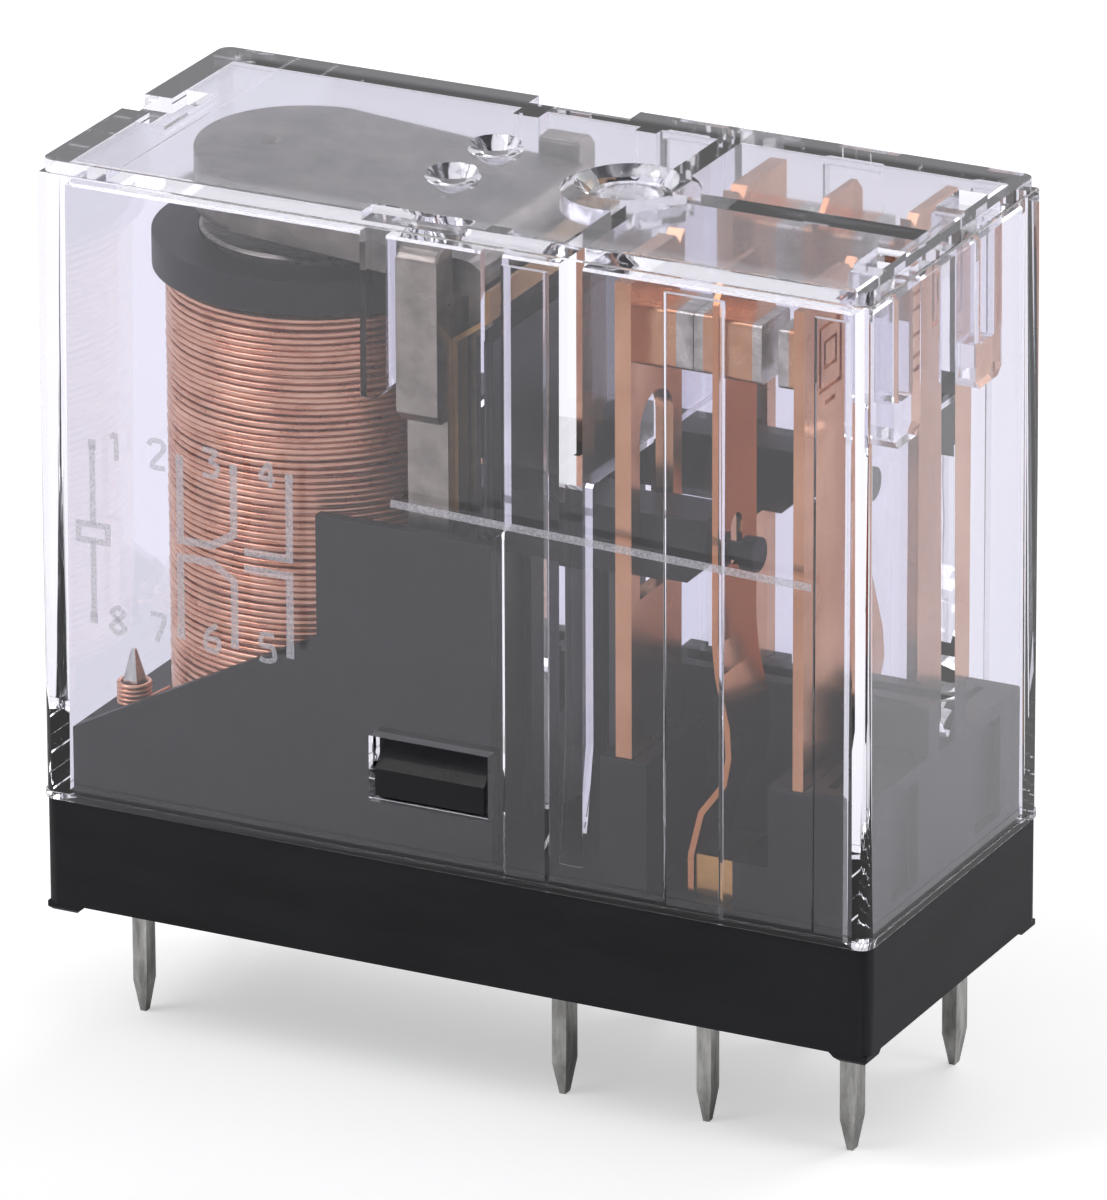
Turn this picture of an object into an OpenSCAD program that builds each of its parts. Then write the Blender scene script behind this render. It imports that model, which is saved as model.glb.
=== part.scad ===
// Two-pole change-over power relay for circuit boards, with a clear clip-on cover.
// Origin: centre of the terminal footprint on the board surface. X runs from the coil end to the
// contact end, -Y is the front face, +Z is up. All sizes are in millimetres.

/* [Body] */
// Length of the moulded base along X
base_length = 28.84; // [28.7:0.1:36]
// Width of the moulded base along Y
base_width = 12.52; // [12.4:0.1:16]
// Height of the relay above the board
body_height = 25.2; // [25.1:0.1:32]
// Height of the solid base block, feet included
deck_height = 3.88; // [3.6:0.02:4.0]
// Height of the corner feet
foot_height = 0.3; // [0.2:0.05:0.6]
// Distance of the body's middle from the middle of the terminals, along X
body_offset = -0.23; // [-0.5:0.01:0.1]

/* [Cover] */
// Wall thickness of the clear cover
cover_wall = 0.75; // [0.5:0.05:0.8]
// Roof thickness of the clear cover
roof_thickness = 0.8; // [0.6:0.05:0.85]
// Height of the narrower rim round the top of the cover
rim_height = 0.42; // [0.3:0.02:0.6]
// Inward lean of each cover wall over its height
cover_draft = 0.14; // [0:0.02:0.2]
// Gap between the cover and what stands inside it
cover_gap = 0.06; // [0.03:0.01:0.15]
// Thickness of the barrier between the two poles
barrier_thickness = 1.0; // [0.6:0.1:1.6]

/* [Terminals] */
// Distance between the two rows of pins
row_spacing = 7.5; // [7.3:0.1:7.6]
// Length of the pins below the board surface
pin_length = 4.0; // [2.5:0.1:5]
// Width of a contact pin across the relay
pin_width = 0.8; // [0.6:0.05:1.2]
// Width of a common or coil pin across the relay
slim_pin_width = 0.6; // [0.5:0.05:0.8]
// Thickness of the pins along the relay
pin_thickness = 0.5; // [0.4:0.02:0.6]

/* [Coil] */
// Outer radius of the winding
winding_radius = 4.88; // [4:0.02:4.9]
// Radius of the iron core
core_radius = 2.4; // [1.6:0.1:3]
// Radius of the pole disc on top of the core
pole_radius = 3.75; // [3.2:0.05:4.5]
// Thickness of the yoke sheet
yoke_thickness = 1.45; // [1:0.05:1.6]

/* [Armature] */
// Thickness of the armature plate
armature_thickness = 0.92; // [0.7:0.02:1.0]
// Angle by which the armature stands open at rest
open_angle = 4.2; // [2:0.1:4.5]

/* [Contacts] */
// Width of the fixed contact strips
strip_width = 3.4; // [3:0.05:3.5]
// Thickness of the normally closed strip
nc_thickness = 0.55; // [0.3:0.05:0.7]
// Thickness of the normally open strip
no_thickness = 0.36; // [0.3:0.02:0.6]
// Width of the movable contact leaf
leaf_width = 2.8; // [2.4:0.1:3.2]
// Thickness of the movable contact leaf
leaf_thickness = 0.2; // [0.12:0.02:0.24]
// Width of the contact blocks across the relay
block_width = 2.0; // [1.6:0.1:2.2]
// Height of the contact blocks
block_height = 1.95; // [1.5:0.05:2.1]
// Opening of the normally open pair at rest
contact_gap = 0.56; // [0.54:0.02:0.7]
// Height of the contacts above the board
contact_height = 22.2; // [21.6:0.1:22.4]

/* [Hidden] */
$fn = 48;

moulded = "#2b2d31";
clear = [0.85, 0.86, 0.92, 0.35];
copper = "#b8734a";
bronze = "#b98a52";
tinned = "#b9b8b4";
steel = "#b5ab98";
plated = "#8f8d88";
silver = "#c9c6c0";

fit = 0.03;                 // clearance of metal in its moulded slot
running = 0.05;             // clearance between pieces that move past each other

// Body outline
body_left = body_offset - base_length / 2;
body_right = body_offset + base_length / 2;
cover_left = body_left;
cover_right = body_right;
cover_half = base_width / 2 + 0.02;
inner_left = cover_left + cover_wall;
inner_right = cover_right - cover_wall;
inner_half = cover_half - cover_wall;
roof_z = body_height - roof_thickness;
floor_z = deck_height + 0.32;              // top of the plinth inside the cover
plinth_left = inner_left + cover_gap;
plinth_right = inner_right - cover_gap;
plinth_half = inner_half - cover_gap;
wall_outer = inner_half - cover_draft;     // base walls stay inside the leaning cover
wall_thickness = 0.4;
wall_inner = wall_outer - wall_thickness;

// Terminal places along X
row_y = row_spacing / 2;
coil_pin_x = -12.5;
nc_pin_x = 2.5;
com_pin_x = 7.5;
no_pin_x = 12.5;
pin_taper = 1.1;

// Contact stack along X, from the coil side
nc_left = 5.25;
nc_right = nc_left + nc_thickness;
leaf_left = 8.36;
leaf_right = leaf_left + leaf_thickness;
no_left = 11.3;
no_right = no_left + no_thickness;
strip_outer = row_y + 1.55;
strip_inner = strip_outer - strip_width;
strip_mid = (strip_outer + strip_inner) / 2;
strip_top = contact_height + 1.9;
leaf_mid = strip_mid;
weld_face = 0.3;            // from the common pin to the face that carries the leaf
rest_gap = 0.03;            // sliver left between the closed contacts at rest
nc_face = nc_right + 1.7;
moving_no_face = leaf_right + 1.32;
no_face = moving_no_face + contact_gap;

// Towers of the base
tower_z = 8.5;
nc_tower = [nc_left - 0.5, nc_right + 0.55];
no_tower = [no_left - 0.8, plinth_right];
low_step = [9.3, 5.8];      // left face and top of the step beside the tower
tower_inner = 1.25;
middle_wall = [1.05, 10.1]; // half thickness and top of the wall between the poles
barrier_slot = 8.4;         // floor of the slot that the cover's barrier stands in
run_z = [1.55, 1.55 + pin_thickness];

// Magnet
coil_x = -7.7;
yoke_left = -2.3;
yoke_right = yoke_left + yoke_thickness;
yoke_floor = floor_z + 0.02;
yoke_foot_top = yoke_floor + yoke_thickness;
yoke_top = 22.45;
yoke_half = 4.6;
ear_half = 5.3;
ear_inner = 4.15;
ear_z = [18.3, 24.0];
core_stem = core_radius - 0.8;
pole_top = yoke_top;
pole_thickness = 0.85;
flange_bottom = [yoke_foot_top + fit, 6.5];
flange_top = [21.1, 22.2];
flange_radius = 5.25;
bobbin_tube = core_radius + 0.55;

// Armature and card
elbow = [yoke_right + 0.13, yoke_top + running];
armature_half = 3.9;
leg_half = 3.4;
leg_bottom = 12.5;
nose_radius = 4.05;
card_left = elbow[0] + armature_thickness;
card_right = card_left + 0.67;
card_half = 4.7;
card_z = [4.9, 21.3];
arm_y = [strip_mid - 0.9, strip_mid + 0.9];
arm_z = [14.3, 16.4];
arm_tip = leaf_left - 0.46;
stud_z = 15.3;
stud_radius = 0.3;
stud_head = [0.55, 0.48];   // radius and thickness
stud_play = 0.3;            // from the leaf to the stud's head
window_y = [arm_y[0] - 0.2, arm_y[1] + 0.2];
window_z = [13.6, 20.1];
rib_y = 2.75;

// Cover details
barrier_x = [3.4, 4.2];
opening_z = 17.1;           // lower edge of the cross barrier
barrier_leg = arm_y[1] + 0.24;
latch_x = [-2.85, 0.95];
latch_z = [6.0, 7.95];
window_margin = 0.18;
gate = [3.0, 2.2, 1.75];    // X, boss radius, dish radius
gate_depth = 0.42;
dimple = [-2.4, 1.47];
pocket_y = [1.98, 3.9];
card_rib = [0.72, 1.45];
panels = [[1.45, 3.05], [7.0, 9.05], [12.07, inner_right - 0.15]];

// ---------------------------------------------------------------- helpers

// Box between two corners
module box(x, y, z) {
    translate([x[0], y[0], z[0]]) cube([x[1] - x[0], y[1] - y[0], z[1] - z[0]]);
}

// Outline in X and Z, carried along Y
module along_y(points, y) {
    translate([0, y[1], 0]) rotate([90, 0, 0]) linear_extrude(y[1] - y[0]) polygon(points);
}

// Outline in Y and Z, carried along X
module along_x(points, x) {
    translate([x[0], 0, 0]) rotate([90, 0, 90]) linear_extrude(x[1] - x[0]) polygon(points);
}

// Round bar along X
module bar_x(x, y, z, r) {
    translate([x[0], y, z]) rotate([0, 90, 0]) cylinder(h = x[1] - x[0], r = r);
}

// Flat rectangle with round corners, made of squares and circles
module round_rect(x, y, r) {
    translate([x[0] + r, y[0]]) square([x[1] - x[0] - 2 * r, y[1] - y[0]]);
    translate([x[0], y[0] + r]) square([x[1] - x[0], y[1] - y[0] - 2 * r]);
    for (cx = [x[0] + r, x[1] - r], cy = [y[0] + r, y[1] - r]) translate([cx, cy]) circle(r);
}

// The piece as drawn for the front (-Y) pole, or its mirror image for the back pole
module pole(back) {
    mirror([0, back ? 1 : 0, 0]) children();
}

module both_poles() {
    children();
    mirror([0, 1, 0]) children();
}

function unit(v) = v / norm(v);
function side(v) = [-v[1], v[0]];
function step_side(p, i) = side(unit(p[i + 1] - p[i]));
function mitre(p, i) =
    i == 0 ? step_side(p, 0) :
    i == len(p) - 1 ? step_side(p, len(p) - 2) :
    let (a = step_side(p, i - 1), m = unit(a + step_side(p, i))) m / (m * a);
// Outline of a sheet of thickness t bent along the points p
function sheet_outline(p, t) = concat(
    [for (i = [0 : len(p) - 1]) p[i] + mitre(p, i) * t / 2],
    [for (i = [len(p) - 1 : -1 : 0]) p[i] - mitre(p, i) * t / 2]);

// Flat blade with a tapered end, from top z down to the pin's tip
module blade(x, y, width, top, gap = 0) {
    half_t = pin_thickness / 2 + gap;
    half_w = width / 2 + gap;
    tip = -pin_length - gap;
    intersection() {
        along_y([
            [x - half_t, top], [x + half_t, top], [x + half_t, tip + pin_taper],
            [x + half_t * 0.4, tip], [x - half_t * 0.4, tip], [x - half_t, tip + pin_taper]
        ], [y - half_w, y + half_w]);
        along_x([
            [y - half_w, top], [y + half_w, top], [y + half_w, tip + pin_taper],
            [y + half_w * 0.45, tip], [y - half_w * 0.45, tip], [y - half_w, tip + pin_taper]
        ], [x - half_t, x + half_t]);
    }
}

// ---------------------------------------------------------------- base

module foot(end) {
    length = 1.35;
    depth = 1.1;
    slope = 0.35;
    x = end < 0 ? body_left + 0.05 : body_right - 0.05;
    in = end < 0 ? 1 : -1;
    y = base_width / 2 - 0.05;
    intersection() {
        along_y([
            [x, foot_height + 0.01], [x, 0.12], [x + in * 0.12, 0],
            [x + in * (length - slope), 0], [x + in * length, foot_height + 0.01]
        ], [-y, -y + depth]);
        along_x([
            [-y, foot_height + 0.01], [-y, 0.12], [-y + 0.12, 0],
            [-y + depth - slope, 0], [-y + depth, foot_height + 0.01]
        ], end < 0 ? [x, x + length] : [x - length, x]);
    }
}

module coil_side_wall() {
    along_y([
        [plinth_left, floor_z - 0.1], [plinth_left, 6.2], [-5.1, 10.75], [-5.1, 14.8],
        [1.0, 14.8], [1.0, floor_z - 0.1]
    ], [-wall_outer, -wall_inner]);
}

module latch_hook() {
    reach = cover_half - 0.1;
    along_x([
        [-wall_inner - 0.05, latch_z[1]], [-reach + 0.25, latch_z[1] - 0.75],
        [-reach, latch_z[1] - 1.05], [-reach, latch_z[0]], [-wall_inner - 0.05, latch_z[0]]
    ], latch_x);
}

module no_tower_shape() {
    difference() {
        along_x([
            [-plinth_half, floor_z - 0.1], [-wall_outer, floor_z + 0.4], [-wall_outer, tower_z - 0.1],
            [-wall_outer + 0.1, tower_z], [-tower_inner, tower_z], [-tower_inner, floor_z - 0.1]
        ], no_tower);
        // shallow recess in the outer end
        box([plinth_right - 0.35, plinth_right + 1], [-3.95, -2.1], [4.6, 8.0]);
        // hollow behind the strip
        box([no_right + 0.5, plinth_right - 0.9], [-strip_outer + 0.6, -strip_inner - 0.6],
            [floor_z + 0.8, tower_z + 1]);
    }
    box([low_step[0], no_tower[0] + 0.1], [-wall_outer, -tower_inner], [floor_z - 0.1, low_step[1]]);
}

module base() {
    color(moulded) difference() {
        union() {
            translate([0, 0, foot_height])
                linear_extrude(deck_height - foot_height)
                    round_rect([body_left, body_right], [-base_width / 2, base_width / 2], 0.45);
            translate([0, 0, deck_height - 0.1])
                linear_extrude(floor_z - deck_height + 0.1)
                    round_rect([plinth_left, plinth_right], [-plinth_half, plinth_half], 0.3);
            both_poles() {
                foot(-1);
                foot(1);
                coil_side_wall();
                latch_hook();
                box(nc_tower, [-wall_outer, -tower_inner], [floor_z - 0.1, tower_z]);
                no_tower_shape();
            }
            // end wall beside the coil
            box([plinth_left, plinth_left + wall_thickness], [-wall_outer, wall_outer],
                [floor_z - 0.1, 6.2]);
            // wall between the poles
            box([nc_tower[0], plinth_right], [-middle_wall[0], middle_wall[0]],
                [floor_z - 0.1, middle_wall[1]]);
            // tie between the towers and the middle wall
            box([nc_tower[0], nc_tower[0] + 0.6], [-tower_inner - 0.1, tower_inner + 0.1],
                [floor_z - 0.1, middle_wall[1]]);
            box([plinth_right - 0.5, plinth_right], [-tower_inner - 0.1, tower_inner + 0.1],
                [floor_z - 0.1, middle_wall[1]]);
        }
        // slot for the barrier between the poles
        box([nc_tower[0] - 1, plinth_right + 1],
            [-barrier_thickness / 2 - cover_gap, barrier_thickness / 2 + cover_gap],
            [barrier_slot, middle_wall[1] + 1]);
        both_poles() {
            coil_terminal_shape(fit);
            nc_terminal_shape(fit);
            com_terminal_shape(fit);
            no_terminal_shape(fit);
            // channels under the bent feet of the terminals
            box([nc_pin_x - pin_thickness / 2 - fit, nc_right + fit],
                [-row_y - pin_width / 2 - fit, -row_y + pin_width / 2 + fit], [-1, run_z[1] + fit]);
            box([com_pin_x - pin_thickness / 2 - fit, com_pin_x + 0.9 + fit],
                [-row_y - slim_pin_width / 2 - fit, -row_y + slim_pin_width / 2 + fit],
                [-1, run_z[1] + fit]);
            box([no_left - fit, no_pin_x + pin_thickness / 2 + fit],
                [-row_y - pin_width / 2 - fit, -row_y + pin_width / 2 + fit], [-1, run_z[1] + fit]);
        }
    }
}

// ---------------------------------------------------------------- terminals

module coil_terminal_shape(gap = 0) {
    post_top = 8.5;
    blade(coil_pin_x, -row_y, slim_pin_width, 7.4, gap);
    half_t = pin_thickness / 2 + gap;
    half_w = slim_pin_width / 2 + gap;
    intersection() {
        along_y([
            [coil_pin_x - half_t, 7.3], [coil_pin_x - half_t, 7.5], [coil_pin_x - 0.06, post_top + gap],
            [coil_pin_x + 0.06, post_top + gap], [coil_pin_x + half_t, 7.5], [coil_pin_x + half_t, 7.3]
        ], [-row_y - half_w, -row_y + half_w]);
        along_x([
            [-row_y - half_w, 7.3], [-row_y - half_w, 7.5], [-row_y - 0.06, post_top + gap],
            [-row_y + 0.06, post_top + gap], [-row_y + half_w, 7.5], [-row_y + half_w, 7.3]
        ], [coil_pin_x - 1, coil_pin_x + 1]);
    }
}

// Strip with a narrower tang below the tower's top
module strip(x, gap) {
    shoulder = tower_z - 0.4;
    box([x[0] - gap, x[1] + gap], [-strip_outer - gap, -strip_inner + gap], [shoulder - gap, strip_top]);
    box([x[0] - gap, x[1] + gap], [-strip_outer + 0.5 - gap, -strip_inner - 0.5 + gap],
        [run_z[0] - gap, tower_z]);
}

module nc_terminal_shape(gap = 0) {
    blade(nc_pin_x, -row_y, pin_width, run_z[1] + gap, gap);
    box([nc_pin_x - pin_thickness / 2 - gap, nc_right + gap],
        [-row_y - pin_width / 2 - gap, -row_y + pin_width / 2 + gap], [run_z[0] - gap, run_z[1] + gap]);
    difference() {
        strip([nc_left, nc_right], gap);
        if (gap == 0) {
            // arched window that the driver arm passes through
            arch = (window_y[1] - window_y[0]) / 2;
            box([nc_left - 1, nc_right + 1], [-window_y[1], -window_y[0]],
                [window_z[0], window_z[1] - arch]);
            bar_x([nc_left - 1, nc_right + 1], -(window_y[0] + window_y[1]) / 2, window_z[1] - arch, arch);
            corner_cut(nc_left);
        }
    }
}

module no_terminal_shape(gap = 0) {
    blade(no_pin_x, -row_y, pin_width, run_z[1] + gap, gap);
    box([no_left - gap, no_pin_x + pin_thickness / 2 + gap],
        [-row_y - pin_width / 2 - gap, -row_y + pin_width / 2 + gap], [run_z[0] - gap, run_z[1] + gap]);
    difference() {
        strip([no_left, no_right], gap);
        if (gap == 0) {
            stamped_mark();
            corner_cut(no_left);
        }
    }
}

// Groove and slot stamped in the outer face of the normally open strip, behind its contact
module stamped_mark() {
    depth = 0.08;
    line = 0.16;
    half = [0.8, 1.1];
    face = [no_right - depth, no_right + 1];
    translate([0, -strip_mid, contact_height]) {
        difference() {
            box(face, [-half[0], half[0]], [-half[1], half[1]]);
            box([no_right - 1, no_right + 2], [-half[0] + line, half[0] - line],
                [-half[1] + line, half[1] - line]);
        }
        difference() {
            box(face, [-0.45, 0.45], [-0.4, 0.55]);
            box([no_right - 1, no_right + 2], [-0.33, 0.33], [-0.28, 0.43]);
        }
        box(face, [-0.35, 0.35], [-half[1] - 0.45, -half[1] - 0.3]);
    }
}

// Chamfers on the free end of a strip or leaf
module corner_cut(x) {
    for (y = [-strip_outer, -strip_inner])
        translate([x - 1, y, strip_top]) rotate([45, 0, 0]) cube([3, 0.7, 0.7], center = false);
    for (y = [-strip_outer, -strip_inner])
        translate([x - 1, y, strip_top]) rotate([135, 0, 0]) cube([3, 0.45, 0.45], center = false);
}

module com_terminal_shape(gap = 0) {
    riser = [com_pin_x + 0.4, com_pin_x + 0.9];
    blade(com_pin_x, -row_y, slim_pin_width, run_z[1] + gap, gap);
    box([com_pin_x - pin_thickness / 2 - gap, riser[1] + gap],
        [-row_y - slim_pin_width / 2 - gap, -row_y + slim_pin_width / 2 + gap],
        [run_z[0] - gap, run_z[1] + gap]);
    box([riser[0] - gap, riser[1] + gap],
        [-row_y - slim_pin_width / 2 - gap, -row_y + slim_pin_width / 2 + gap], [run_z[0], floor_z + 0.2]);
    // square block that the leaf is welded to
    box([com_pin_x + weld_face, com_pin_x + weld_face + 1.33], [-strip_mid - 1.3, -strip_mid + 1.2],
        [floor_z + 0.02, floor_z + 1.38]);
}

// ---------------------------------------------------------------- movable leaf and contact blocks

module movable_spring(back) {
    // side view of the leaf, from its welded foot to its free end
    mid = leaf_left + leaf_thickness / 2;
    foot_x = com_pin_x + weld_face - running - leaf_thickness / 2;
    path = [
        [foot_x, floor_z + 0.12], [foot_x, floor_z + 1.35], [foot_x + 0.35, 7.0], [mid + 0.35, 8.1],
        [mid + 0.51, 9.0], [mid + 0.45, 10.0], [mid + 0.1, 11.6], [mid, 12.6], [mid, strip_top]
    ];
    slot_z = [stud_z - 0.1, stud_z + 0.85];
    slot_half = stud_radius + 0.1;
    across = [leaf_left - 1, leaf_right + 1];
    sides = [-leaf_mid - leaf_width / 2, -leaf_mid + leaf_width / 2];
    color(copper) pole(back) difference() {
        along_y(sheet_outline(path, leaf_thickness), sides);
        // slot that the card's stud slides in
        box(across, [-leaf_mid - slot_half, -leaf_mid + slot_half], slot_z);
        for (z = slot_z) bar_x(across, -leaf_mid, z, slot_half);
        for (y = sides)
            translate([leaf_left - 1, y, strip_top]) rotate([45, 0, 0]) cube([3, 0.6, 0.6], center = true);
    }
}

// Rectangular contact block between two values of X
module contact_block(x) {
    corner = 0.18;
    color(silver) translate([x[0], -strip_mid, contact_height]) rotate([90, 0, 90])
        linear_extrude(x[1] - x[0])
            round_rect([-block_width / 2, block_width / 2], [-block_height / 2, block_height / 2], corner);
}

module nc_contact(back) {
    pole(back) contact_block([nc_right, nc_face]);
}

module moving_nc_contact(back) {
    pole(back) contact_block([nc_face + rest_gap, leaf_left]);
}

module moving_no_contact(back) {
    pole(back) contact_block([leaf_right, moving_no_face]);
}

module no_contact(back) {
    pole(back) contact_block([no_face, no_left]);
}

// ---------------------------------------------------------------- magnet

module yoke() {
    color(plated) difference() {
        union() {
            box([yoke_left, yoke_right], [-yoke_half, yoke_half], [yoke_floor, yoke_top]);
            box([-11.3, yoke_right], [-yoke_half, yoke_half], [yoke_floor, yoke_foot_top]);
            both_poles() along_x([
                [-ear_inner, ear_z[0]], [-ear_half + 0.35, ear_z[0]], [-ear_half, ear_z[0] + 0.35],
                [-ear_half, ear_z[1] - 0.3], [-ear_half + 0.3, ear_z[1]], [-ear_inner - 0.1, ear_z[1]],
                [-ear_inner, ear_z[1] - 0.1]
            ], [yoke_left, yoke_right]);
        }
        translate([coil_x, 0, 0]) cylinder(h = yoke_foot_top + 1, r = core_stem + 0.01);
    }
}

module core() {
    color(steel) translate([coil_x, 0, 0]) {
        translate([0, 0, yoke_floor]) cylinder(h = yoke_foot_top - yoke_floor + 0.1, r = core_stem);
        translate([0, 0, yoke_foot_top + 0.01])
            cylinder(h = pole_top - pole_thickness - yoke_foot_top + 0.1, r = core_radius);
        translate([0, 0, pole_top - pole_thickness]) cylinder(h = pole_thickness - 0.1, r = pole_radius);
        translate([0, 0, pole_top - 0.1]) cylinder(h = 0.1, r1 = pole_radius, r2 = pole_radius - 0.1);
    }
}

module bobbin() {
    bore = core_radius + fit;
    color(moulded) difference() {
        union() {
            translate([coil_x, 0, flange_bottom[0]])
                cylinder(h = flange_top[1] - flange_bottom[0], r = bobbin_tube);
            translate([coil_x, 0, flange_top[0]])
                cylinder(h = flange_top[1] - flange_top[0], r = flange_radius, $fn = 96);
            intersection() {
                translate([coil_x, 0, flange_bottom[0]])
                    cylinder(h = flange_bottom[1] - flange_bottom[0], r = flange_radius, $fn = 96);
                box([coil_x - 6, coil_x + 6], [-wall_inner + cover_gap, wall_inner - cover_gap], [0, 10]);
            }
            // ledge that carries the coil terminals
            box([plinth_left + wall_thickness + cover_gap, coil_x],
                [-wall_inner + cover_gap, wall_inner - cover_gap], flange_bottom);
        }
        translate([coil_x, 0, 0]) cylinder(h = 30, r = bore);
        translate([coil_x, 0, pole_top - pole_thickness - fit]) cylinder(h = 5, r = pole_radius + fit);
        both_poles() coil_terminal_shape(fit);
    }
}

module coil_winding() {
    gap = 0.02;
    color(copper) translate([coil_x, 0, flange_bottom[1] + gap]) difference() {
        cylinder(h = flange_top[0] - flange_bottom[1] - 2 * gap, r = winding_radius, $fn = 96);
        translate([0, 0, -1]) cylinder(h = 30, r = bobbin_tube + gap);
    }
}

// Coil wire: a few turns round the post, then across to the winding
module coil_lead(back) {
    wire = 0.08;
    turn_radius = norm([pin_thickness, slim_pin_width]) / 2 + wire + 0.02;
    turns = 5;
    start = 6.75;
    end = [coil_x - winding_radius * 0.78 - 0.12, -row_y + 0.75, start + 0.3];
    color(copper) pole(back) {
        for (i = [0 : turns - 1])
            translate([coil_pin_x, -row_y, start + i * wire * 1.9])
                rotate_extrude() translate([turn_radius, 0]) circle(wire, $fn = 16);
        link([coil_pin_x + turn_radius, -row_y, start + wire * 1.9], end, wire);
    }
}

// Straight wire between two points
module link(a, b, r) {
    v = b - a;
    translate(a) rotate([0, acos(v[2] / norm(v)), atan2(v[1], v[0])]) cylinder(h = norm(v), r = r, $fn = 16);
}

// ---------------------------------------------------------------- armature, card and hinge spring

// Side view of the armature: a plate that rises to the left and a leg that hangs down
function armature_outline() =
    let (
        t = armature_thickness,
        up = [sin(open_angle), cos(open_angle)],
        along = [-cos(open_angle), sin(open_angle)],
        reach = elbow[0] - coil_x + nose_radius + 0.1
    ) concat(
        [elbow, elbow + along * reach, elbow + along * reach + up * t],
        [for (a = [90 - open_angle : -10 : 5]) elbow + t * [cos(a), sin(a)]],
        [elbow + [t, 0], [elbow[0] + t, leg_bottom], [elbow[0], leg_bottom]]
    );

module armature() {
    color(steel) difference() {
        intersection() {
            along_y(armature_outline(), [-armature_half, armature_half]);
            union() {
                translate([coil_x, 0, 0]) cylinder(h = 40, r = nose_radius, $fn = 96);
                box([coil_x, card_right], [-armature_half, armature_half], [yoke_top - 0.2, 40]);
                box([yoke_left, card_right], [-leg_half, leg_half], [0, 40]);
            }
        }
        // centre mark near the free end
        translate([-9.5, 0, pole_top + armature_thickness + 0.5]) cylinder(h = 1, r1 = 0.3, r2 = 0.9);
        // hole for the card's stake
        bar_x([yoke_left, card_right], 0, 17, 0.65);
    }
}

module card() {
    color(moulded) {
        difference() {
            union() {
                box([card_left, card_right], [-card_half, card_half], card_z);
                // thick lower half under the armature's leg
                box([card_left - 0.7, card_right], [-card_half + 0.5, card_half - 0.5],
                    [card_z[0] + 0.5, leg_bottom - fit]);
                both_poles() {
                    // stiffening rib
                    box([card_left, card_right + 0.3], [-rib_y - 0.32, -rib_y + 0.32],
                        [card_z[0], arm_z[0] + 0.1]);
                    // driver arm
                    box([card_left, arm_tip], [-arm_y[1], -arm_y[0]], arm_z);
                }
            }
            // chamfer on the arms' lower ends
            both_poles() translate([arm_tip, -leaf_mid, arm_z[0]])
                rotate([0, 45, 0]) cube([0.9, 4, 0.9], center = true);
        }
        bar_x([card_left - armature_thickness + 0.1, card_left + 0.1], 0, 17, 0.6);
        both_poles() {
            bar_x([arm_tip - 0.1, leaf_right + stud_play + 0.01], -leaf_mid, stud_z, stud_radius);
            bar_x([leaf_right + stud_play, leaf_right + stud_play + stud_head[1]], -leaf_mid, stud_z,
                stud_head[0]);
        }
    }
}

module hinge_spring() {
    t = 0.16;
    face = yoke_right + 0.01 + t / 2;
    outer = card_left + 0.17 + t / 2;
    arms = [leg_half + 0.15, leg_half + 0.85];
    path = [[face, 7.6], [face, 20.9], [outer, 21.75], [outer, 22.7]];
    color(bronze) {
        both_poles() along_y(sheet_outline(path, t), [-arms[1], -arms[0]]);
        along_y(sheet_outline([path[0], [face, 10.6]], t), [-arms[1], arms[1]]);
        along_y(sheet_outline([[outer, 21.95], path[3]], t), [-arms[1], arms[1]]);
    }
}

// ---------------------------------------------------------------- cover

// Block whose four walls lean in, with a small chamfer round the top
module leaning_block(x, half, z, chamfer) {
    lean = cover_draft;
    intersection() {
        along_y([
            [x[0], z[0]], [x[0] + lean, z[1] - chamfer], [x[0] + lean + chamfer, z[1]],
            [x[1] - lean - chamfer, z[1]], [x[1] - lean, z[1] - chamfer], [x[1], z[0]]
        ], [-half - 1, half + 1]);
        along_x([
            [-half, z[0]], [-half + lean, z[1] - chamfer], [-half + lean + chamfer, z[1]],
            [half - lean - chamfer, z[1]], [half - lean, z[1] - chamfer], [half, z[0]]
        ], [x[0] - 1, x[1] + 1]);
    }
}

module cover_shell() {
    edge = 0.04;
    corner = 0.42;
    rim_z = body_height - rim_height;
    rim_inset = cover_draft + 0.08;
    bead = [0.04, 0.24];        // how far it stands out, and its height
    difference() {
        union() {
            intersection() {
                leaning_block([cover_left, cover_right], cover_half, [deck_height, rim_z], edge);
                translate([0, 0, deck_height - 1]) linear_extrude(body_height)
                    round_rect([cover_left, cover_right], [-cover_half, cover_half], corner);
            }
            translate([0, 0, rim_z - 0.2]) linear_extrude(rim_height + 0.2)
                round_rect([cover_left + rim_inset, cover_right - rim_inset],
                    [-cover_half + rim_inset, cover_half - rim_inset], corner);
            // bead round the lower edge
            translate([0, 0, deck_height]) linear_extrude(bead[1])
                round_rect([cover_left - bead[0], cover_right + bead[0]],
                    [-cover_half - bead[0], cover_half + bead[0]], corner);
        }
        leaning_block([inner_left, inner_right], inner_half, [deck_height - 0.01, roof_z], 0.1);
    }
}

// Cross barrier between the magnet and the contacts, with legs down the side walls
module cross_barrier() {
    y = inner_half + 0.2;
    both_poles() along_x([
        [0.01, roof_z + 0.1], [-y, roof_z + 0.1], [-y, 4.7], [-inner_half + 0.05, 4.7],
        [-barrier_leg - 0.4, 6.1], [-barrier_leg, tower_z], [-barrier_leg, opening_z - 0.1],
        [-barrier_leg + 0.1, opening_z], [0.01, opening_z]
    ], barrier_x);
}

// Barrier between the poles, with a pointed lower edge
module pole_barrier() {
    half = barrier_thickness / 2;
    along_x([
        [-half, roof_z + 0.1], [-half, 9.4], [-0.06, 8.7], [0.06, 8.7], [half, 9.4], [half, roof_z + 0.1]
    ], [barrier_x[1] - 0.1, inner_right + 0.3]);
}

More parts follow.
